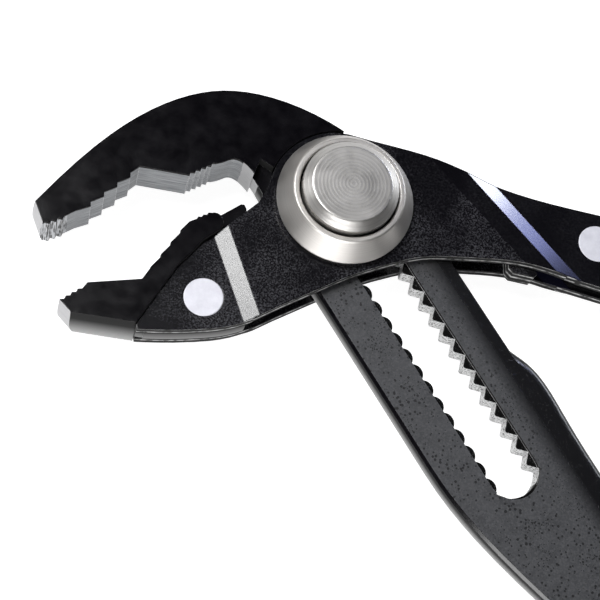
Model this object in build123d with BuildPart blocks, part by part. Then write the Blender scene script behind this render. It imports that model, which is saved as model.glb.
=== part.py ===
from build123d import *
import math
import os

# Tongue and groove pliers, twelve inch class, with a push-button pivot.
# The pliers lie flat. +Z is the pivot axis and points out of the button, the jaws
# point to -X and the handles to +X. The origin is the centre of the flat rear cap.

os.makedirs("parts", exist_ok=True)

# overall sizes
jaw_reach = 70.0            # pivot axis to the tips of the jaws
grip_length = 140.0         # length of each handle grip
mid_z = 9.5                 # height of the mid plane above the rear cap

# stack through the thickness, measured from the mid plane
arm_thick = 5.2             # slotted arm between the plates
plate_thick = 2.7           # side plate sheet
plate_run = 0.1             # running gap between arm and each plate
joggle = 0.9                # inward step of each plate towards jaw and handle

# pivot
barrel_radius = 7.65        # barrel turning in the plate bores
bearing_gap = 0.05          # radial running clearance of turned fits
collar_radius = 15.85       # rim of the conical collar
collar_hole_radius = 11.45  # hole the button moves in
collar_rise = 5.3           # height of the cone
button_radius = 10.95
button_flat_radius = 8.9
button_above = 3.2          # top of the button above the collar lip
press_travel = 3.1          # stroke of the button
stem_radius = 3.5           # stem of the lock key
spring_wire = 0.9
spring_turns = 4

# adjusting slot
slot_angle = -58.0          # direction of the slot from +X, degrees
slot_half = 6.1             # half width of the plain front step
slot_near = 11.2            # pivot axis to the near end of the slot
slot_far = 78.0             # pivot axis to the far end of the slot
slot_step = 1.0             # depth of the plain front step
tooth_pitch = 4.3
rack_teeth = 17
key_gap = 0.2               # clearance between lock key and rack crests

# fasteners
rivet_radius = 4.45
rivet_proud = 0.1

# grips
grip_thick = 19.0
grip_width = 27.0
sleeve_wall = 1.5

# derived levels
head = jaw_reach / 70.0
half_arm = arm_thick / 2
high_in = half_arm + plate_run
high_out = high_in + plate_thick
low_in = high_in - joggle
low_out = low_in + plate_thick
bore_radius = barrel_radius + bearing_gap

# half plane of the turned parts, radius across and height above the mid plane upwards
turning = Plane(origin=(0, 0, mid_z), x_dir=(1, 0, 0), z_dir=(0, -1, 0))


def at(x, y):
    """A point of the head, scaled with the reach of the jaws."""
    return (x * head, y * head)


def upper_tail(x, y):
    """A point of the upper handle, which keeps its size and follows the head."""
    return (x + 98 * (head - 1), y - 15.6 * (head - 1))


def lower_tail(x, y):
    """A point of the lower handle, which keeps its size and follows the head."""
    return (x + 86 * (head - 1), y - 109.5 * (head - 1))


def level(z):
    """Horizontal plane at a height above the mid plane."""
    return Plane.XY.offset(mid_z + z)


def along(t, n):
    """A point given along the slot axis and across it."""
    a = math.radians(slot_angle)
    return (t * math.cos(a) - n * math.sin(a), t * math.sin(a) + n * math.cos(a))


def advance(edge):
    """Distance of the middle of an edge along the slot axis."""
    a = math.radians(slot_angle)
    return (edge @ 0.5).X * math.cos(a) + (edge @ 0.5).Y * math.sin(a)


def across(edge):
    """Distance of the middle of an edge from the slot axis."""
    a = math.radians(slot_angle)
    return (edge @ 0.5).Y * math.cos(a) - (edge @ 0.5).X * math.sin(a)


def saw(start, end, teeth, height):
    """Corner points of a row of small teeth that stand up to the left of the row."""
    dx = (end[0] - start[0]) / teeth
    dy = (end[1] - start[1]) / teeth
    size = math.hypot(dx, dy)
    points = []
    for i in range(teeth):
        x = start[0] + dx * i
        y = start[1] + dy * i
        points.append((x, y))
        points.append((x + dx * 0.45 - dy / size * height, y + dy * 0.45 + dx / size * height))
    points.append(end)
    return points


def ease(near, far, front, back):
    """Waste outside a jaw face that falls away by a given amount at its front and back edges."""
    dx = far[0] - near[0]
    dy = far[1] - near[1]
    size = math.hypot(dx, dy)
    middle = ((near[0] + far[0]) / 2, (near[1] + far[1]) / 2, mid_z)
    plane = Plane(origin=middle, x_dir=(dy, -dx, 0), z_dir=(-dx, -dy, 0))
    with BuildPart() as waste:
        with BuildSketch(plane):
            with BuildLine():
                Spline((-front, high_out), (-front * 0.25, high_out / 2), (0, 0),
                       (-back * 0.25, -high_out / 2), (-back, -high_out))
                Polyline((-back, -high_out), (3, -high_out), (3, high_out), (-front, high_out))
            make_face()
        extrude(amount=size / 2 + 2, both=True)
    return waste.part


# ---------------------------------------------------------------- slotted arm
# One forging: upper jaw, slotted arm between the plates, tang of the lower handle.
jaw_top = [at(-69.9, -5.7), at(-56.6, 9.6), at(-44.1, 19.8)]
jaw_top += [at(-28.4, 25.8), at(-13.9, 24.3), at(1.3, 17.1)]
jaw_teeth = [at(-68.1, -10.3)]
jaw_teeth += saw(at(-62.9, -8.1), at(-67.0, -9.9), 3, 0.6)[::-1]
jaw_teeth += [at(-60.4, -6.6)]
for i in range(4):
    jaw_teeth += [at(-57.2 + 2.83 * i, -5.3 + 2.55 * i), at(-57.2 + 2.83 * i, -4.15 + 2.55 * i)]
jaw_teeth += [at(-46.8, 5.2)]
jaw_teeth += saw(at(-30.3, 7.3), at(-36.4, 4.0), 5, 0.55)[::-1]
jaw_teeth += [at(-29.5, 7.3)]

with BuildSketch(level(-high_out)) as jaw_outline:
    with BuildLine():
        jaw_crown = Spline(*jaw_top, tangents=[(0.62, 0.78), (0.83, -0.56)])
        Polyline(jaw_top[0], *jaw_teeth)
        jaw_throat = Spline(jaw_teeth[-1], at(-25.6, 8.8), at(-20.8, 5.4), tangents=[(1, 0.2), (0.6, -0.8)])
        Polyline(jaw_throat @ 1, at(-19.4, 9.2), at(-16.4, 7.4), (0, 0), jaw_crown @ 1)
    make_face()

with BuildSketch(level(-high_out)) as jaw_face:
    add(jaw_outline.sketch)
    Circle(17.8 * head, mode=Mode.SUBTRACT)

arm_left = [at(*along(-8.7, -16.2)), at(*along(62, -16.2))]
arm_bend = [at(27.3, -72.2), at(43.9, -88.8), at(62, -104.5), lower_tail(82, -119.5)]
arm_right = [at(*along(80, 18.3)), at(*along(66, 18.8)), at(*along(53, 18.2))]
arm_shoulder = [at(*along(45.5, 15.4)), at(*along(4.0, 15.3))]
tang_top = [lower_tail(94, -103), lower_tail(82, -90.5), at(69, -75.5)]

with BuildSketch(level(-half_arm)) as arm_face:
    with BuildLine():
        Polyline(at(-24, 12), at(-22.6, 7.9), at(-21.4, 6.6), at(-19.7, 3.9), at(-18.45, 1.7))
        ThreePointArc(at(-18.45, 1.7), at(-18.5, 0.2), arm_left[0])
        Line(*arm_left)
        arm_low = Spline(arm_left[-1], *arm_bend, tangents=[along(1, 0), (0.8, -0.6)])
        Line(arm_low @ 1, tang_top[0])
        arm_high = Spline(*tang_top, arm_right[0], tangents=[(-0.72, 0.7), along(-1, 0)])
        arm_wide = Spline(*arm_right, tangents=[along(-1, 0), along(-1, -0.3)])
        Spline(arm_wide @ 1, arm_shoulder[0], tangents=[along(-1, -0.3), along(-1, -0.2)])
        Line(*arm_shoulder)
        Polyline(arm_shoulder[1], at(0, 0), at(-24, 12))
    make_face()
    Circle(17.5 * head)
    add(jaw_outline.sketch.moved(Location((0, 0, high_out - half_arm))))
    with BuildLine():
        arm_waste = [(-8.7, -16.2), (30, -16.2), (30, -20), (-8.7, -20)]
        Polyline(*[at(*along(t, n)) for t, n in arm_waste], close=True)
    make_face(mode=Mode.SUBTRACT)

# tang inside the lower grip
low_path = [lower_tail(82, -106), lower_tail(112, -130), lower_tail(144, -151.5), lower_tail(176, -169)]
with BuildSketch(level(-half_arm)) as low_tang:
    with BuildLine():
        tang_a = Spline(*[(p[0] + 4.1, p[1] + 5.4) for p in low_path])
        tang_b = Spline(*[(p[0] - 4.1, p[1] - 5.4) for p in low_path])
        Line(tang_a @ 0, tang_b @ 0)
        Line(tang_a @ 1, tang_b @ 1)
    make_face()

rack_first = 3.1 - tooth_pitch * 0.5
with BuildSketch(level(half_arm - slot_step)) as slot_front:
    with Locations(Location((0, 0, 0), (0, 0, slot_angle))):
        with Locations(((slot_far - slot_near) / 2, 0)):
            SlotOverall(slot_far + slot_near, slot_half * 2)

with BuildSketch(level(-half_arm)) as slot_rack:
    with BuildLine():
        rack_v = [(rack_first, slot_half)]
        for i in range(rack_teeth):
            t = rack_first + tooth_pitch * i
            rack_v += [(t + tooth_pitch * 0.44, slot_half - 1.9), (t + tooth_pitch * 0.56, slot_half - 1.9)]
            rack_v += [(t + tooth_pitch, slot_half)]
        rack_end = rack_first + tooth_pitch * rack_teeth
        Polyline(*[along(t, n) for t, n in rack_v])
        ThreePointArc(along(rack_end, slot_half), along(slot_far - 0.6, 0), along(rack_end, -slot_half))
        for i in range(rack_teeth):
            t = rack_end - tooth_pitch * i
            crest = along(t - tooth_pitch / 2, 1.4 - slot_half)
            ThreePointArc(along(t, -slot_half), crest, along(t - tooth_pitch, -slot_half))
        ThreePointArc(along(rack_first, -slot_half), along(-slot_near, 0), along(rack_first, slot_half))
    make_face()

with BuildPart() as arm:
    add(arm_face.sketch)
    extrude(amount=arm_thick)
    rims = arm.edges().filter_by(Plane.XY)
    left_rims = [e for e in rims if across(e) < -6 and 0 < advance(e) < 130]
    chamfer(left_rims, length=0.7)
    right_rims = [e for e in arm.edges().filter_by(Plane.XY) if across(e) > 12 and 60 < advance(e) < 130]
    fillet(right_rims, radius=arm_thick * 0.42)
    add(low_tang.sketch)
    extrude(amount=arm_thick)
    add(jaw_face.sketch)
    extrude(amount=2 * high_out)
    add(ease(jaw_top[0], jaw_teeth[0], 0.65, 0.65), mode=Mode.SUBTRACT)
    add(slot_front.sketch)
    extrude(amount=slot_step, mode=Mode.SUBTRACT)
    add(slot_rack.sketch)
    extrude(amount=arm_thick, mode=Mode.SUBTRACT)
arm.part.label = "upper_jaw_arm"
export_step(arm.part, "parts/upper_jaw_arm.step")

# ---------------------------------------------------------------- side plates
# Two stampings. The middle zone is raised round the pivot and steps in at both ends.
plate_nose = [at(-18.9, -0.3), at(-17.3, 3.0), at(-15.8, 7.4), at(-10.4, 14.0), at(1.3, 17.1)]
plate_top = [at(1.3, 17.1), at(8.4, 15.6), at(22.9, 12.3), at(35.5, 7.4), at(61.5, 1.5), upper_tail(95, -6.2)]
plate_low = [upper_tail(95, -23.6), at(60.5, -16.6), at(52.8, -14.6), at(43.8, -12.3), at(34.4, -11.6)]
plate_low += [at(26.2, -11.7), at(18.6, -12.2), at(11.8, -14.0), at(2.9, -17.3), at(-10.1, -23.8)]
plate_low += [at(-15.1, -26.4), at(-21.5, -29.8), at(-26.5, -31.5), at(-32.0, -32.4), at(-38.8, -33.0)]
plate_low += [at(-46.0, -33.2)]
plate_front = [at(-46.0, -33.2), at(-46.2, -32.0), at(-43.0, -26.9), at(-37.4, -18.1), at(-32.0, -12.2)]
plate_front += [at(-29.8, -10.7), at(-26.2, -7.4), at(-19.6, -1.6), at(-18.9, -0.3)]
handle_top = [upper_tail(*p) for p in ((95, -6.2), (112, -13.0), (150, -19.5), (190, -25.0))]
handle_low = [upper_tail(*p) for p in ((190, -37.0), (150, -32.0), (112, -26.5), (95, -23.6))]
jaw_rivet_at = at(-31.6, -24.9)
handle_rivet_at = at(60.5, -5.8)

with BuildSketch(level(0)) as plate_face:
    with BuildLine():
        Spline(*plate_nose)
        Spline(*plate_top)
        Spline(*handle_top)
        Line(handle_top[-1], handle_low[0])
        Spline(*handle_low)
        Spline(*plate_low)
        Polyline(*plate_front)
    make_face()


def bent_sheet(near, far, width):
    """Sheet that is raised on the pivot side of a joggle line and low beyond it."""
    dx = far[0] - near[0]
    dy = far[1] - near[1]
    plane = Plane(origin=(near[0], near[1], mid_z), x_dir=(-dy, dx, 0), z_dir=(dx, dy, 0))
    with BuildPart() as sheet:
        with BuildSketch(plane):
            with BuildLine():
                Polyline((-200, high_in), (0, high_in), (width, low_in), (400, low_in), (400, low_out),
                         (width + 0.3, low_out), (0.3, high_out), (-200, high_out), close=True)
            make_face()
        extrude(amount=150, both=True)
    return sheet.part


with BuildPart() as jaw_side:
    add(bent_sheet(at(-19.1, -27.9), at(-26.1, -7.9), 3.7 * head))
    split(bisect_by=Plane.YZ, keep=Keep.BOTTOM)

with BuildPart() as handle_side:
    add(bent_sheet(at(28.2, 10.6), at(46.9, -10.7), 3.6 * head))
    split(bisect_by=Plane.YZ, keep=Keep.TOP)

with BuildPart() as front_plate:
    add(jaw_side.part)
    add(handle_side.part)
    extrude(plate_face.sketch, amount=high_out + 1, mode=Mode.INTERSECT)
    with Locations((0, 0, mid_z)):
        Cylinder(bore_radius, 3 * high_out, mode=Mode.SUBTRACT)
    with Locations((*jaw_rivet_at, mid_z), (*handle_rivet_at, mid_z)):
        Cylinder(rivet_radius, 3 * high_out, mode=Mode.SUBTRACT)
front_plate.part.label = "front_side_plate"
export_step(front_plate.part, "parts/front_side_plate.step")

with BuildPart() as back_plate:
    add(front_plate.part.mirror(level(0)))
back_plate.part.label = "back_side_plate"
export_step(back_plate.part, "parts/back_side_plate.step")

# ---------------------------------------------------------------- lower jaw
# Insert with a head as thick as the upper jaw and a tongue riveted between the plates.
tip_teeth = saw(at(-63.2, -28.4), at(-58.2, -24.9), 4, 0.45)
insert_top = tip_teeth + [at(-57.1, -23.4), at(-45.3, -21.8), at(-43.7, -19.3)]
for i in range(4):
    insert_top += [at(-43.5 + 2.1 * i, -18.8 + 3.02 * i), at(-41.5 + 2.1 * i, -16.5 + 3.02 * i)]
insert_top += saw(at(-33.6, -6.7), at(-30.2, -5.0), 3, 0.35)
insert_end = [at(-30.2, -5.0), at(-28.3, -5.4), at(-27.6, -6.6), at(-28.9, -9.2)]
insert_under = [at(-28.9, -9.2), at(-32.0, -11.6), at(-37.0, -17.7), at(-42.6, -26.4), at(-45.8, -31.5)]
insert_under += [at(-46.3, -32.8), at(-60.5, -31.3)]

with BuildSketch(level(-high_out)) as insert_face:
    with BuildLine():
        Polyline(*insert_top)
        Spline(*insert_end)
        Polyline(*insert_under, insert_top[0])
    make_face()
    offset(plate_face.sketch.moved(Location((0, 0, -high_out))), amount=0.15, mode=Mode.SUBTRACT)

with BuildSketch(level(-low_in)) as tongue_face:
    with BuildLine():
        Polyline(at(-50, -40), at(-50, -20), at(-30, -4), at(-19.5, 1), at(-17, -40), close=True)
    make_face()
    add(plate_face.sketch.moved(Location((0, 0, -low_in))), mode=Mode.INTERSECT)
    with BuildLine():
        Polyline(at(-31, -10), at(-29.6, -5.4), at(-28.3, -4.3), at(-23.2, -0.9), at(-22.4, -0.9),
                 at(-21.9, -1.9), at(-22, -12), close=True)
    make_face()
    with BuildLine():
        Polyline(at(-21.2, 1), at(-22.9, -29), at(-17.3, -34), at(-10, -34), at(-10, 1), close=True)
    make_face(mode=Mode.SUBTRACT)

with BuildPart() as lower_jaw:
    add(insert_face.sketch)
    extrude(amount=2 * high_out)
    add(tongue_face.sketch)
    extrude(amount=2 * low_in)
    add(ease(insert_top[0], insert_under[-1], 0.65, 0.65), mode=Mode.SUBTRACT)
    add(ease(insert_under[-1], insert_under[-2], 0.9, 0.15), mode=Mode.SUBTRACT)
    with Locations((*jaw_rivet_at, mid_z)):
        Cylinder(rivet_radius, 3 * high_out, mode=Mode.SUBTRACT)
lower_jaw.part.label = "lower_jaw"
export_step(lower_jaw.part, "parts/lower_jaw.step")

# ---------------------------------------------------------------- rivets and spacers
for name, spot in (("jaw_rivet", jaw_rivet_at), ("handle_rivet", handle_rivet_at)):
    with BuildPart() as rivet:
        with Locations((*spot, mid_z)):
            Cylinder(rivet_radius, 2 * (low_out + rivet_proud))
        chamfer(rivet.edges().filter_by(GeomType.CIRCLE), length=rivet_proud)
    rivet.part.label = name
    export_step(rivet.part, "parts/" + name + ".step")

with BuildPart() as spacer:
    with BuildSketch(level(-high_in)):
        with BuildLine():
            Polyline(at(39.5, -9.0), at(39.5, -12.4), at(40.6, -13.6), at(45.4, -14.4), at(46.2, -13.6),
                     at(43.6, -9.0), close=True)
        make_face()
    extrude(amount=2 * high_in)
spacer.part.label = "plate_spacer"
export_step(spacer.part, "parts/plate_spacer.step")

core_top = [(p[0], p[1] - 2.6) for p in handle_top[1:]]
core_low = [(p[0], p[1] + 2.6) for p in handle_low[:-1]]
with BuildPart() as core:
    with BuildSketch(level(-low_in)):
        with BuildLine():
            Polyline(upper_tail(95, -9.2), at(61, -1.4), at(56, -2.0), at(55, -12.6), at(60.5, -14.0),
                     upper_tail(95, -20.8))
            Polyline(upper_tail(95, -9.2), *core_top)
            Line(core_top[-1], core_low[0])
            Polyline(*core_low, upper_tail(95, -20.8))
        make_face()
    extrude(amount=2 * low_in)
    with Locations((*handle_rivet_at, mid_z)):
        Cylinder(rivet_radius, 3 * high_out, mode=Mode.SUBTRACT)
core.part.label = "handle_core"
export_step(core.part, "parts/handle_core.step")

# ---------------------------------------------------------------- pivot
lip = high_out + 1.8 + collar_rise
button_top = lip + button_above
button_rim = button_top - 1.7
button_base = lip - 2.3
key_top = press_travel - half_arm - 0.2

with BuildPart() as collar:
    with BuildSketch(turning):
        with BuildLine():
            Polyline((collar_hole_radius, high_out), (collar_radius - 0.9, high_out),
                     (collar_radius - 0.9, high_out + 1.2), (collar_radius, high_out + 1.5),
                     (collar_radius, high_out + 1.8), (collar_hole_radius + 1.5, lip - 0.35),
                     (collar_hole_radius + 1.15, lip), (collar_hole_radius + 0.3, lip),
                     (collar_hole_radius, lip - 0.3), close=True)
        make_face()
    revolve(axis=Axis.Z)
collar.part.label = "pivot_collar"
export_step(collar.part, "parts/pivot_collar.step")

with BuildPart() as rear_cap:
    with BuildSketch(Plane.XZ):
        with BuildLine():
            Polyline((0, 0), (10.6, 0), (13.6, 2.2), (14.2, 2.9), (14.2, mid_z - high_out),
                     (bore_radius, mid_z - high_out), (bore_radius, 0.9), (0, 0.9), close=True)
        make_face()
    revolve(axis=Axis.Z)
rear_cap.part.label = "rear_cap"
export_step(rear_cap.part, "parts/rear_cap.step")

barrel_low = half_arm - slot_step + bearing_gap
with BuildPart() as barrel:
    with BuildSketch(level(barrel_low)):
        Circle(barrel_radius)
    extrude(amount=high_out + 0.2 - barrel_low)
    with BuildSketch(level(high_out + 0.1)):
        Circle(collar_hole_radius - 1.9)
    extrude(amount=1.1)
    with BuildSketch(level(barrel_low)):
        Circle(barrel_radius + 1)
        with Locations(Location((0, 0, 0), (0, 0, slot_angle))):
            Rectangle(6 * barrel_radius, 2 * (slot_half - 0.1), mode=Mode.SUBTRACT)
    extrude(amount=high_in - barrel_low, mode=Mode.SUBTRACT)
    with Locations((0, 0, mid_z)):
        Cylinder(stem_radius + bearing_gap, 4 * high_out, mode=Mode.SUBTRACT)
barrel.part.label = "pivot_barrel"
export_step(barrel.part, "parts/pivot_barrel.step")

key_right = slot_half - 1.9 - key_gap
key_left = 1.4 - slot_half + key_gap
with BuildPart() as key:
    with BuildSketch(level(-high_out + 0.1)):
        Circle(barrel_radius)
    extrude(amount=plate_thick - 0.1)
    with BuildSketch(level(-high_in)):
        with BuildLine():
            notches = [(-5.9, key_left)]
            for i in range(3):
                notches += [(-5.9 + 3.93 * i, key_right), (-3.94 + 3.93 * i, key_right - 1.5)]
            notches += [(5.9, key_right), (5.9, key_left)]
            Polyline(*[along(t, n) for t, n in notches], close=True)
        make_face()
    extrude(amount=high_in + key_top)
    with BuildSketch(level(key_top)):
        Circle(stem_radius)
    extrude(amount=button_base + 2 - key_top)
key.part.label = "lock_key"
export_step(key.part, "parts/lock_key.step")

spring_ceiling = button_base + 3.8
with BuildPart() as button:
    with BuildSketch(turning):
        with BuildLine():
            Polyline((stem_radius, button_base), (4.4, button_base), (4.4, spring_ceiling), (8.2, spring_ceiling),
                     (8.2, button_base), (button_radius - 0.4, button_base), (button_radius, button_base + 0.4),
                     (button_radius, button_rim), (button_flat_radius + 0.2, button_top - 0.05),
                     (button_flat_radius, button_top), (0, button_top), (0, button_base + 2),
                     (stem_radius, button_base + 2), close=True)
        make_face()
    revolve(axis=Axis.Z)
button.part.label = "push_button"
export_step(button.part, "parts/push_button.step")

spring_low = high_out + 1.2 + spring_wire / 2 + 0.02
spring_rise = spring_ceiling - spring_wire / 2 - 0.02 - spring_low
with BuildPart() as spring:
    with BuildLine(Plane.XY.offset(mid_z + spring_low)):
        coil = Helix(pitch=spring_rise / spring_turns, height=spring_rise, radius=6.3)
    with BuildSketch(Plane(origin=coil @ 0, z_dir=coil % 0)):
        Circle(spring_wire / 2)
    sweep()
spring.part.label = "button_spring"
export_step(spring.part, "parts/button_spring.step")

# ---------------------------------------------------------------- handle grips
# Each handle ends in a hard grip body over the tang, a soft sleeve round its middle
# and an inlay on both faces of the sleeve.
stretch = grip_length / 140.0
half_widths = [(0, 13.2), (3, 14.8), (8, 14.6), (17, 12.3), (50, 12.0), (90, 12.6)]
half_widths += [(122, 13.6), (134, 10.6)]


def swell(points, grow):
    """Both edges of a grip outline in its own frame, bowed a little along its length."""
    upper = []
    lower = []
    for s, w in points:
        x = s * stretch
        y = -2.6 * 4 * (s / 140.0) * (1 - s / 140.0)
        upper.append((x, y + (w + grow) * grip_width / 27.0))
        lower.append((x, y - (w + grow) * grip_width / 27.0))
    return upper, lower


def oval_bar(grow):
    """Bar of oval section along the grip, which rounds the grip off."""
    with BuildPart() as bar:
        with BuildSketch(Plane.YZ.offset(-5)):
            with Locations((-1.4, 0)):
                Ellipse((15.8 + grow) * grip_width / 27.0, grip_thick / 2 - sleeve_wall + grow)
        extrude(amount=160 * stretch)
    return bar.part


def grip_body():
    """Hard grip body in its own frame, before the tang is cut from it."""
    upper, lower = swell(half_widths, 0)
    with BuildPart() as body:
        with BuildSketch():
            with BuildLine():
                top = Spline(*upper)
                low = Spline(*lower)
                Line(top @ 0, low @ 0)
                ThreePointArc(top @ 1, (140.0 * stretch, -0.6), low @ 1)
            make_face()
        extrude(amount=grip_thick / 2, both=True)
        add(oval_bar(0), mode=Mode.INTERSECT)
        with BuildSketch(Plane.XZ):
            with Locations((70 * stretch, 0)):
                RectangleRounded(142 * stretch, grip_thick - 2 * sleeve_wall, 5)
        extrude(amount=2 * grip_width, both=True, mode=Mode.INTERSECT)
    return body.part


def grip_sleeve(body):
    """Soft sleeve round the middle of the grip, with finger grooves on its inner edge."""
    middle = [p for p in half_widths if 10 < p[0] < 130]
    upper, lower = swell(middle, sleeve_wall)
    with BuildPart() as sleeve:
        with BuildSketch():
            with BuildLine():
                top = Spline(*upper)
                low = Spline(*lower)
                Line(top @ 0, low @ 0)
                Line(top @ 1, low @ 1)
            make_face()
        extrude(amount=grip_thick / 2, both=True)
        add(oval_bar(sleeve_wall), mode=Mode.INTERSECT)
        with BuildSketch():
            for i in range(12):
                with Locations((28 * stretch + i * 7 * stretch, -18.0 * grip_width / 27.0)):
                    Circle(2.6)
        extrude(amount=grip_thick, both=True, mode=Mode.SUBTRACT)
        add(body, mode=Mode.SUBTRACT)
    return sleeve.part


def inlay(side):
    """Flush panel on one face of the sleeve."""
    with BuildPart() as panel:
        with BuildSketch(Plane.XY.offset(side * (grip_thick / 2 - 0.8))):
            with Locations((70 * stretch, -2.4)):
                SlotOverall(84 * stretch, 9.0 * grip_width / 27.0)
        extrude(amount=0.8 * side)
    return panel.part


upper_place = Plane(origin=(*upper_tail(98, -15.6), mid_z), x_dir=(0.9885, -0.1513, 0), z_dir=(0, 0, 1))
lower_place = Plane(origin=(*lower_tail(86, -109.5), mid_z), x_dir=(0.829, -0.559, 0), z_dir=(0, 0, 1))

grip = grip_body()
soft_grip = grip_sleeve(grip)

with BuildPart() as upper_base:
    add(grip.moved(upper_place.location))
    extrude(plate_face.sketch, amount=low_out, both=True, mode=Mode.SUBTRACT)
with BuildPart() as lower_base:
    add(grip.moved(lower_place.location))
    add(arm.part, mode=Mode.SUBTRACT)

for name, place, base in (("upper", upper_place, upper_base), ("lower", lower_place, lower_base)):
    base.part.label = name + "_grip_base"
    export_step(base.part, "parts/" + name + "_grip_base.step")
    with BuildPart() as soft:
        add(soft_grip.moved(place.location))
        add(inlay(1).moved(place.location), mode=Mode.SUBTRACT)
        add(inlay(-1).moved(place.location), mode=Mode.SUBTRACT)
    soft.part.label = name + "_grip_sleeve"
    export_step(soft.part, "parts/" + name + "_grip_sleeve.step")
    for side, face in ((1, "front"), (-1, "back")):
        with BuildPart() as panel:
            add(inlay(side).moved(place.location))
        panel.part.label = name + "_grip_inlay_" + face
        export_step(panel.part, "parts/" + name + "_grip_inlay_" + face + ".step")
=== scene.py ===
import math

import bmesh
import bpy
from mathutils import Matrix, Vector


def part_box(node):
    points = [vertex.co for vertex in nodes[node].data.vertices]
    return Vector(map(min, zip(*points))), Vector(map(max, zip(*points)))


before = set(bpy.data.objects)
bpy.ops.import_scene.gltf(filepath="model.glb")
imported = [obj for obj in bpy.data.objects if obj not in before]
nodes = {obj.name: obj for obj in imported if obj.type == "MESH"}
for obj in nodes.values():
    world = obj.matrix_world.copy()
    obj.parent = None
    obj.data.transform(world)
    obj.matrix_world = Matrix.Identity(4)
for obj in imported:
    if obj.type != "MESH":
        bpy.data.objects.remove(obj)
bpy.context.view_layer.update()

arm_low, arm_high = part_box("upper_jaw_arm")
MID_Z = (arm_low[2] + arm_high[2]) / 2       # mid plane of the jaws, the arm and the plates
ARM_HALF = 0.0026                            # half the thickness of the slotted arm
JAW_HALF = 0.0054                            # half the thickness of the jaws
JOGGLE = 0.0009                              # inward step of the plates beyond a joggle line
SLOT_ANGLE = math.radians(-58.0)             # direction of the slot from +X
HANDLE_JOGGLE = (0.752, 0.660)               # direction square to the joggle line, away from the pivot
JAW_JOGGLE = (-0.944, -0.330)
WALL_HIGHLIGHT_RATE = 3490.0                         # radians per metre, a painted highlight line every 1.8 mm of a plate's wall
RING_RATE = 7600.0                           # radians per metre, grooves round the button's flat


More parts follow.
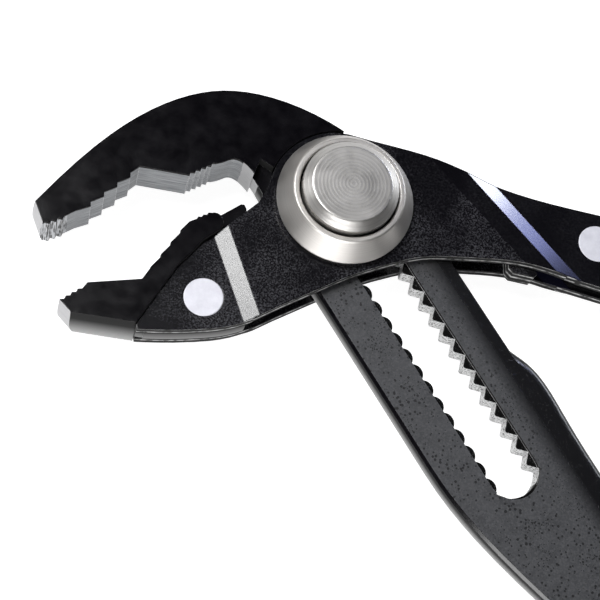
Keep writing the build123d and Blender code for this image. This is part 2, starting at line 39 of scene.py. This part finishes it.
# ------------------------------------------------------------------ node helpers
class Shader:
    """A material's node tree, with short calls for the nodes that are used here."""

    def __init__(self, name):
        self.material = bpy.data.materials.new(name)
        self.material.use_nodes = True
        self.tree = self.material.node_tree
        self.bsdf = self.tree.nodes["Principled BSDF"]
        self.coords = self.tree.nodes.new("ShaderNodeTexCoord")
        self.object = self.coords.outputs["Object"]
        self.normal = self.coords.outputs["Normal"]

    def link(self, value, socket):
        if isinstance(value, bpy.types.NodeSocket):
            self.tree.links.new(value, socket)
        elif isinstance(value, (tuple, list)) and len(value) == 3 and socket.type == "RGBA":
            socket.default_value = (*value, 1.0)
        else:
            socket.default_value = value

    def math(self, op, a, b=0.0, clamp=False):
        n = self.tree.nodes.new("ShaderNodeMath")
        n.operation = op
        n.use_clamp = clamp
        self.link(a, n.inputs[0])
        self.link(b, n.inputs[1])
        return n.outputs[0]

    def split(self, vector):
        n = self.tree.nodes.new("ShaderNodeSeparateXYZ")
        self.link(vector, n.inputs[0])
        return n.outputs[0], n.outputs[1], n.outputs[2]

    def noise(self, scale, detail=2.0, rough=0.5, vector=None, distortion=0.0):
        n = self.tree.nodes.new("ShaderNodeTexNoise")
        self.link(vector or self.object, n.inputs["Vector"])
        n.inputs["Scale"].default_value = scale
        n.inputs["Detail"].default_value = detail
        n.inputs["Roughness"].default_value = rough
        n.inputs["Distortion"].default_value = distortion
        return n.outputs["Fac"]

    def cells(self, scale, vector=None):
        n = self.tree.nodes.new("ShaderNodeTexVoronoi")
        self.link(vector or self.object, n.inputs["Vector"])
        n.inputs["Scale"].default_value = scale
        return n.outputs["Distance"]

    def step(self, value, low, high, out_low=0.0, out_high=1.0):
        n = self.tree.nodes.new("ShaderNodeMapRange")
        self.link(value, n.inputs["Value"])
        n.inputs["From Min"].default_value = low
        n.inputs["From Max"].default_value = high
        n.inputs["To Min"].default_value = out_low
        n.inputs["To Max"].default_value = out_high
        return n.outputs[0]

    def mix(self, factor, a, b):
        n = self.tree.nodes.new("ShaderNodeMix")
        n.data_type = "RGBA"
        self.link(factor, n.inputs["Factor"])
        self.link(a, n.inputs["A"])
        self.link(b, n.inputs["B"])
        return n.outputs["Result"]

    def blend(self, factor, a, b):
        n = self.tree.nodes.new("ShaderNodeMix")
        n.data_type = "FLOAT"
        self.link(factor, n.inputs["Factor"])
        self.link(a, n.inputs["A"])
        self.link(b, n.inputs["B"])
        return n.outputs["Result"]

    def bump(self, height, strength, distance, normal=None):
        n = self.tree.nodes.new("ShaderNodeBump")
        n.inputs["Strength"].default_value = strength
        n.inputs["Distance"].default_value = distance
        self.link(height, n.inputs["Height"])
        if normal:
            self.link(normal, n.inputs["Normal"])
        return n.outputs[0]

    def rounded(self, radius):
        """Normals that turn the corners as if they were eased by this radius."""
        n = self.tree.nodes.new("ShaderNodeBevel")
        n.samples = 6
        n.inputs["Radius"].default_value = radius
        return n.outputs[0]

    def corner(self, radius):
        """Mask of a strip along every corner, where the eased normals leave the face's own."""
        face = self.tree.nodes.new("ShaderNodeNewGeometry").outputs["True Normal"]
        n = self.tree.nodes.new("ShaderNodeVectorMath")
        n.operation = "DOT_PRODUCT"
        self.link(self.rounded(radius), n.inputs[0])
        self.link(face, n.inputs[1])
        return self.step(n.outputs["Value"], 0.99, 0.90)

    def stretch(self, sx, sy, sz, turn=0.0):
        n = self.tree.nodes.new("ShaderNodeMapping")
        self.link(self.object, n.inputs["Vector"])
        n.inputs["Rotation"].default_value = (0, 0, turn)
        n.inputs["Scale"].default_value = (sx, sy, sz)
        return n.outputs[0]

    def set(self, **values):
        for key, value in values.items():
            self.link(value, self.bsdf.inputs[key.replace("_", " ")])

    def along_slot(self):
        """Distance along the slot from the pivot axis, and across it."""
        x, y, _ = self.split(self.object)
        c, s = math.cos(SLOT_ANGLE), math.sin(SLOT_ANGLE)
        t = self.math("ADD", self.math("MULTIPLY", x, c), self.math("MULTIPLY", y, s))
        n = self.math("ADD", self.math("MULTIPLY", x, -s), self.math("MULTIPLY", y, c))
        return t, n


def paint(name, shader):
    """Gives a CAD node this material in every slot."""
    mesh = nodes[name].data
    if not mesh.materials:
        mesh.materials.append(shader.material)
    for i in range(len(mesh.materials)):
        mesh.materials[i] = shader.material


# ------------------------------------------------------------------ materials
def upright(s):
    """Mask of the faces that stand along Z, and the X and Y of the normal."""
    nx, ny, nz = s.split(s.normal)
    return s.math("LESS_THAN", s.math("ABSOLUTE", nz), 0.5), nx, ny


def beyond(s, direction, reach):
    """Mask of what lies further from the pivot than this reach in a direction."""
    x, y, _ = s.split(s.object)
    past = s.math("ADD", s.math("MULTIPLY", x, direction[0]), s.math("MULTIPLY", y, direction[1]))
    return s.math("GREATER_THAN", past, reach)


def black_plate():
    """Black coat of the side plates.

    It has painted glints on its grain, most of them by the pivot, is smooth on the handle's joggle and has
    painted highlight lines on the walls."""
    s = Shader("plate_black")
    x, _, z = s.split(s.object)
    wall = upright(s)[0]
    nz = s.split(s.normal)[2]
    tilted = s.math("LESS_THAN", s.math("ABSOLUTE", nz), 0.985)
    slope = s.math("MULTIPLY", tilted, s.math("GREATER_THAN", x, 0.01))
    # grain, with painted glints: bright specks of base colour that stand in for light off the grain,
    # thickest by the pivot
    grain = s.noise(2300, 3, 0.7)
    cloud = s.noise(55, 3, 0.5)
    glint_patch = s.step(cloud, 0.40, 0.62, 0.15, 1.0)
    near_pivot = s.math("SUBTRACT", 1.0, beyond(s, HANDLE_JOGGLE, 0.024))
    glint_patch = s.math("MULTIPLY", glint_patch, s.blend(near_pivot, 0.15, 1.0))
    painted_glint = s.math("MULTIPLY", s.step(grain, 0.44, 0.72), glint_patch)
    base = s.mix(painted_glint, (0.0022, 0.0020, 0.0032), (0.075, 0.075, 0.084))
    base = s.mix(slope, base, (0.006, 0.006, 0.016))
    # painted highlight lines along the walls, by the depth from the outer face
    depth = s.math("ABSOLUTE", s.math("SUBTRACT", z, MID_Z))
    low = s.math("MAXIMUM", beyond(s, HANDLE_JOGGLE, 0.030), beyond(s, JAW_JOGGLE, 0.029))
    depth = s.math("ADD", depth, s.math("MULTIPLY", low, JOGGLE))
    turns = s.math("ADD", s.math("MULTIPLY", depth, WALL_HIGHLIGHT_RATE), -3.6 * math.pi)
    lines = s.step(s.math("SINE", turns), 0.35, 0.95)
    lines = s.math("MULTIPLY", lines, s.step(s.noise(420, 3, 0.6), 0.36, 0.60))
    base = s.mix(wall, base, s.mix(lines, (0.002, 0.002, 0.002), (0.55, 0.55, 0.55)))
    smooth = s.math("MAXIMUM", slope, wall)
    rough = s.blend(slope, s.step(cloud, 0.3, 0.8, 0.17, 0.24), 0.13)
    s.set(Base_Color=base, Roughness=s.blend(wall, rough, 0.85),
          Normal=s.bump(s.blend(smooth, grain, 0.5), 0.25, 0.00010, s.rounded(0.00035)))
    return s


def black_forging(name, ground, shade_from, shade_to):
    """Black coated forging. ground(s) gives the mask of the bare ground faces.

    The upright sides carry a painted reflection of the floor: black above and pale towards the floor,
    changing between two heights from the mid plane."""
    s = Shader(name)
    t, n = s.along_slot()
    x, _, z = s.split(s.object)
    nx, _, nz = s.split(s.normal)
    wall = upright(s)[0]
    wave = s.noise(300, 3, 0.5)
    fine = s.noise(2200, 3, 0.6)
    # glossy coat of the jaws
    gloss = s.mix(s.step(wave, 0.3, 0.8), (0.0012, 0.0010, 0.0018), (0.0032, 0.0028, 0.0042))
    # satin coat of the arm, pitted, with painted glints, painted shade on its rounded edge, and darker on
    # the steps of the slot
    flat = s.step(s.math("ABSOLUTE", nz), 0.80, 0.97)
    on_arm = s.math("MULTIPLY", s.step(t, 0.004, 0.016), flat)
    # painted shade on the arm's rounded edge, which darkens towards its outer side
    shaded_edge = s.math("MULTIPLY", s.step(n, 0.0085, 0.0130), s.step(t, 0.110, 0.090))
    height = s.math("ABSOLUTE", s.math("SUBTRACT", z, MID_Z))
    recessed = s.math("LESS_THAN", height, ARM_HALF - 0.0004)
    crowd = s.step(s.noise(120, 2, 0.5), 0.35, 0.65, 0.17, 0.32)
    dots = s.math("LESS_THAN", s.cells(900), crowd)
    small = s.math("LESS_THAN", s.cells(1700), s.step(s.noise(170, 2, 0.5), 0.38, 0.66, 0.05, 0.30))
    pits = s.math("MAXIMUM", dots, small)
    satin = s.mix(s.step(wave, 0.3, 0.75), (0.030, 0.031, 0.034), (0.047, 0.048, 0.052))
    # painted glints: brighter specks of the satin coat that stand in for light caught by its texture
    satin = s.mix(s.step(fine, 0.45, 0.75), satin, (0.070, 0.071, 0.076))
    satin = s.mix(shaded_edge, satin, (0.006, 0.006, 0.007))
    seen_pits = s.math("MULTIPLY", pits, s.math("SUBTRACT", 1.0, shaded_edge))
    satin = s.mix(seen_pits, satin, (0.003, 0.003, 0.004))
    satin = s.mix(recessed, satin, (0.003, 0.003, 0.003))
    coat = s.mix(on_arm, gloss, satin)
    # painted reflection of the floor on the upright sides, pale on their lower part
    shade = s.step(z, MID_Z + shade_from, MID_Z + shade_to)
    coat = s.mix(wall, coat, s.mix(shade, (0.002, 0.002, 0.002), (0.40, 0.40, 0.40)))
    dark = s.math("MAXIMUM", shaded_edge, recessed)
    satin_rough = s.blend(dark, s.step(fine, 0.3, 0.8, 0.44, 0.58), 0.24)
    coat_rough = s.blend(on_arm, s.step(wave, 0.3, 0.8, 0.16, 0.24), satin_rough)
    coat_rough = s.blend(wall, coat_rough, 0.80)
    # bare steel: grinding lines, painted light and shade for the ridges of the tip teeth, pits on the
    # rack, painted highlights on the corners, pale end faces
    lines = s.noise(1.0, 3, 0.6, s.stretch(150, 150, 5200))
    steel = s.mix(s.step(lines, 0.3, 0.7), (0.16, 0.17, 0.18), (0.52, 0.53, 0.55))
    # painted light and shade: black and pale stripes standing in for the ridges of the tip teeth
    ridge_strokes = s.step(s.noise(1.0, 2, 0.5, s.stretch(2300, 2300, 260)), 0.42, 0.56)
    near_tip = s.math("LESS_THAN", x, -0.0622)
    steel = s.mix(near_tip, steel, s.mix(ridge_strokes, (0.02, 0.02, 0.02), (0.58, 0.59, 0.61)))
    rack = s.math("GREATER_THAN", t, 0.0)
    rack_steel = s.mix(s.step(fine, 0.36, 0.50), (0.05, 0.05, 0.05), (0.80, 0.80, 0.80))
    steel = s.mix(rack, steel, rack_steel)
    # painted highlight: a near-white strip along the steel's corners, broken up by noise
    corner_highlight = s.math("MULTIPLY", s.corner(0.0003), s.step(fine, 0.3, 0.5))
    steel = s.mix(corner_highlight, steel, (0.92, 0.93, 0.95))
    end_face = s.math("MULTIPLY", s.math("LESS_THAN", nx, -0.6), s.math("LESS_THAN", t, 0.0))
    steel = s.mix(end_face, steel, s.mix(s.step(lines, 0.3, 0.7), (0.54, 0.54, 0.55), (0.66, 0.66, 0.67)))
    # the coat wraps over the front edge of the ground faces, but not of the end faces
    rim = s.math("ADD", z, s.math("MULTIPLY", wave, 0.0010))
    wrapped = s.math("MULTIPLY", s.math("GREATER_THAN", rim, MID_Z + JAW_HALF - 0.0002), wall)
    wrapped = s.math("MULTIPLY", wrapped, s.math("SUBTRACT", 1.0, end_face))
    bare = s.math("MULTIPLY", ground(s), s.math("SUBTRACT", 1.0, wrapped))
    relief = s.math("ADD", s.math("MULTIPLY", fine, 0.5), s.math("MULTIPLY", pits, -1.5))
    relief = s.blend(on_arm, s.math("MULTIPLY", wave, 0.5), relief)
    relief = s.blend(bare, relief, lines)
    s.set(Base_Color=s.mix(bare, coat, steel), Roughness=s.blend(bare, coat_rough, 0.40),
          Metallic=s.math("MULTIPLY", bare, 0.85),
          Normal=s.bump(relief, 0.25, 0.00008, s.rounded(0.00025)))
    return s


def arm_ground(s):
    """The upper jaw's biting and end faces, and the crests of the rack."""
    wall, _, ny = upright(s)
    x, _, z = s.split(s.object)
    jaw = s.math("MULTIPLY", s.math("LESS_THAN", x, -0.0195), s.math("LESS_THAN", ny, 0.25))
    t, n = s.along_slot()
    rack = s.math("MULTIPLY", s.math("GREATER_THAN", n, 0.0035), s.math("LESS_THAN", n, 0.0068))
    rack = s.math("MULTIPLY", rack, s.math("LESS_THAN", t, 0.079))
    rack = s.math("MULTIPLY", rack, s.math("LESS_THAN", z, MID_Z + 0.0018))
    return s.math("MULTIPLY", wall, s.math("MAXIMUM", jaw, rack))


def insert_ground(s):
    """The lower jaw's biting and end faces."""
    wall, nx, ny = upright(s)
    x = s.split(s.object)[0]
    tip = s.math("MULTIPLY", s.math("LESS_THAN", x, -0.0595), s.math("LESS_THAN", nx, -0.5))
    biting = s.math("MULTIPLY", s.math("GREATER_THAN", ny, 0.05), s.math("LESS_THAN", x, -0.0285))
    return s.math("MULTIPLY", wall, s.math("MAXIMUM", tip, biting))


def turned_metal(name, tint_a, tint_b, rings, rough, flat_rings=False):
    """Satin turned metal with rings round the pivot axis. flat_rings adds even grooves."""
    s = Shader(name)
    x, y, z = s.split(s.object)
    r = s.math("SQRT", s.math("ADD", s.math("MULTIPLY", x, x), s.math("MULTIPLY", y, y)))
    combine = s.tree.nodes.new("ShaderNodeCombineXYZ")
    s.link(s.math("MULTIPLY", r, rings), combine.inputs[0])
    s.link(s.math("MULTIPLY", z, rings), combine.inputs[1])
    tracks = s.noise(1.0, 3, 0.7, combine.outputs[0])
    cloud = s.noise(180, 3, 0.5)
    base = s.mix(s.step(tracks, 0.3, 0.7), tint_a, tint_b)
    base = s.mix(s.step(cloud, 0.4, 0.8, 0, 0.25), base, tint_a)
    height = tracks
    if flat_rings:
        groove = s.math("SINE", s.math("MULTIPLY", r, RING_RATE))
        height = s.math("ADD", tracks, s.math("MULTIPLY", groove, 0.5))
        base = s.mix(s.step(groove, 0.2, 1.0, 0, 0.16), base, (0.30, 0.29, 0.275))
    s.set(Base_Color=base, Metallic=1.0,
          Roughness=s.step(cloud, 0.3, 0.8, rough - 0.05, rough + 0.06),
          Normal=s.bump(height, 0.12, 0.00005, s.rounded(0.0003)))
    return s


def bright_steel(name, light, dark, rough, metal):
    """Steel with a soft cloudy finish."""
    s = Shader(name)
    cloud = s.noise(420, 4, 0.6)
    fine = s.noise(3200, 2, 0.5)
    s.set(Base_Color=s.mix(s.step(cloud, 0.35, 0.7), light, dark), Metallic=metal,
          Roughness=s.step(fine, 0.3, 0.8, rough - 0.05, rough + 0.08),
          Normal=s.bump(fine, 0.15, 0.00006, s.rounded(0.0002)))
    return s


def moulded(name, light, dark, rough, grain, depth):
    """Moulded plastic or rubber with a grained skin."""
    s = Shader(name)
    skin = s.noise(grain, 3, 0.55)
    cloud = s.noise(90, 3, 0.5)
    s.set(Base_Color=s.mix(s.step(cloud, 0.3, 0.75), dark, light),
          Roughness=s.step(cloud, 0.3, 0.8, rough - 0.06, rough + 0.06),
          Normal=s.bump(skin, 0.35, depth))
    return s


plate_paint = black_plate()
for name in ("front_side_plate", "back_side_plate", "plate_spacer", "handle_core"):
    paint(name, plate_paint)
paint("upper_jaw_arm", black_forging("arm_forging", arm_ground, 0.0010, -0.0022))
paint("lower_jaw", black_forging("insert_forging", insert_ground, 0.0030, -0.0054))
nickel = turned_metal("collar_nickel", (0.60, 0.575, 0.55), (0.70, 0.68, 0.655), 5200, 0.44)
paint("pivot_collar", nickel)
paint("rear_cap", nickel)
button_nickel = turned_metal("button_nickel", (0.60, 0.585, 0.565), (0.70, 0.685, 0.665), 6500, 0.40, True)
paint("push_button", button_nickel)
rivet_steel = bright_steel("rivet_steel", (0.72, 0.72, 0.78), (0.62, 0.62, 0.68), 0.5, 0.3)
for name in ("jaw_rivet", "handle_rivet"):
    paint(name, rivet_steel)
inner_steel = bright_steel("inner_steel", (0.60, 0.60, 0.62), (0.42, 0.42, 0.44), 0.3, 1.0)
for name in ("pivot_barrel", "lock_key", "button_spring"):
    paint(name, inner_steel)
hard = moulded("grip_hard", (0.030, 0.030, 0.033), (0.018, 0.018, 0.020), 0.5, 1600, 0.00010)
soft = moulded("grip_soft", (0.050, 0.050, 0.054), (0.032, 0.032, 0.034), 0.72, 1100, 0.00018)
amber = moulded("grip_inlay", (0.60, 0.33, 0.03), (0.50, 0.26, 0.02), 0.6, 1300, 0.00012)
for side in ("upper", "lower"):
    paint(side + "_grip_base", hard)
    paint(side + "_grip_sleeve", soft)
    paint(side + "_grip_inlay_front", amber)
    paint(side + "_grip_inlay_back", amber)

# ------------------------------------------------------------------ stage
FLOOR_HALF = 4.0
FLOOR_CENTRE = (0.08, -0.08, -0.0003)        # just under the rear cap
mesh = bpy.data.meshes.new("floor")
bm = bmesh.new()
bmesh.ops.create_grid(bm, x_segments=2, y_segments=2, size=FLOOR_HALF)
bm.to_mesh(mesh)
bm.free()
floor = bpy.data.objects.new("floor", mesh)
floor.location = FLOOR_CENTRE
bpy.context.scene.collection.objects.link(floor)
# the floor looks white to the camera and lights the object less than that
white = Shader("floor_white")
seen = white.tree.nodes.new("ShaderNodeLightPath").outputs["Is Camera Ray"]
white.set(Base_Color=(0.35, 0.35, 0.35), Roughness=0.9, Emission_Color=(1, 1, 1),
          Emission_Strength=white.step(seen, 0.0, 1.0, 0.5, 0.95))
mesh.materials.append(white.material)

# bright at the horizon and dim overhead, which keeps the black coats black
world = bpy.data.worlds.new("studio")
bpy.context.scene.world = world
world.use_nodes = True
tree = world.node_tree
background = tree.nodes["Background"]
coords = tree.nodes.new("ShaderNodeTexCoord")
up = tree.nodes.new("ShaderNodeSeparateXYZ")
fade = tree.nodes.new("ShaderNodeMapRange")
tree.links.new(coords.outputs["Generated"], up.inputs[0])
tree.links.new(up.outputs[2], fade.inputs["Value"])
fade.inputs["From Min"].default_value = 0.15
fade.inputs["From Max"].default_value = 0.80
fade.inputs["To Min"].default_value = 1.0
fade.inputs["To Max"].default_value = 0.16
tree.links.new(fade.outputs[0], background.inputs["Strength"])


def softbox(name, direction, distance, size, power, tint=(1.0, 1.0, 1.0)):
    """A rectangular light that faces the origin from this direction."""
    light = bpy.data.lights.new(name, "AREA")
    light.shape = "RECTANGLE"
    light.size, light.size_y = size
    light.energy = power
    light.color = tint
    lamp = bpy.data.objects.new(name, light)
    away = Vector(direction).normalized()
    lamp.location = away * distance
    lamp.rotation_euler = away.to_track_quat("Z", "Y").to_euler()
    bpy.context.scene.collection.objects.link(lamp)


softbox("key_left", (-0.55, 0.30, 0.75), 0.9, (0.45, 0.60), 7.0)
softbox("joggle_left", (-0.275, 0.19, 0.94), 1.2, (0.30, 0.30), 5.0)
softbox("streak_white", (0.686, 0.793, 0.683), 1.25, (0.05, 0.14), 1.0, (0.88, 0.92, 1.0))
softbox("streak_violet", (0.728, 0.750, 0.685), 1.25, (0.075, 0.14), 0.42, (0.40, 0.46, 1.0))
softbox("rim_right", (0.80, 0.55, 0.22), 0.9, (0.30, 0.30), 2.2, (0.90, 0.94, 1.0))
softbox("front_low", (-0.25, -0.95, 0.30), 0.9, (0.8, 0.3), 6.0)

# ------------------------------------------------------------------ camera
CAMERA_PLACE = (-0.0681, -0.1456, 0.3423)
CAMERA_BACK = (-0.1637, -0.3421, 0.9253)     # against the line of sight
camera = bpy.data.objects.new("camera", bpy.data.cameras.new("camera"))
camera.data.sensor_width = 36.0
camera.data.lens = 95.6
camera.data.clip_start = 0.01
back = Vector(CAMERA_BACK).normalized()
right = Vector((0, 1, 0)).cross(back).normalized()
upward = back.cross(right)
turn = Matrix((right, upward, back)).transposed().to_4x4()
camera.matrix_world = Matrix.Translation(CAMERA_PLACE) @ turn
bpy.context.scene.collection.objects.link(camera)
bpy.context.scene.camera = camera
bpy.context.scene.view_settings.view_transform = "Standard"
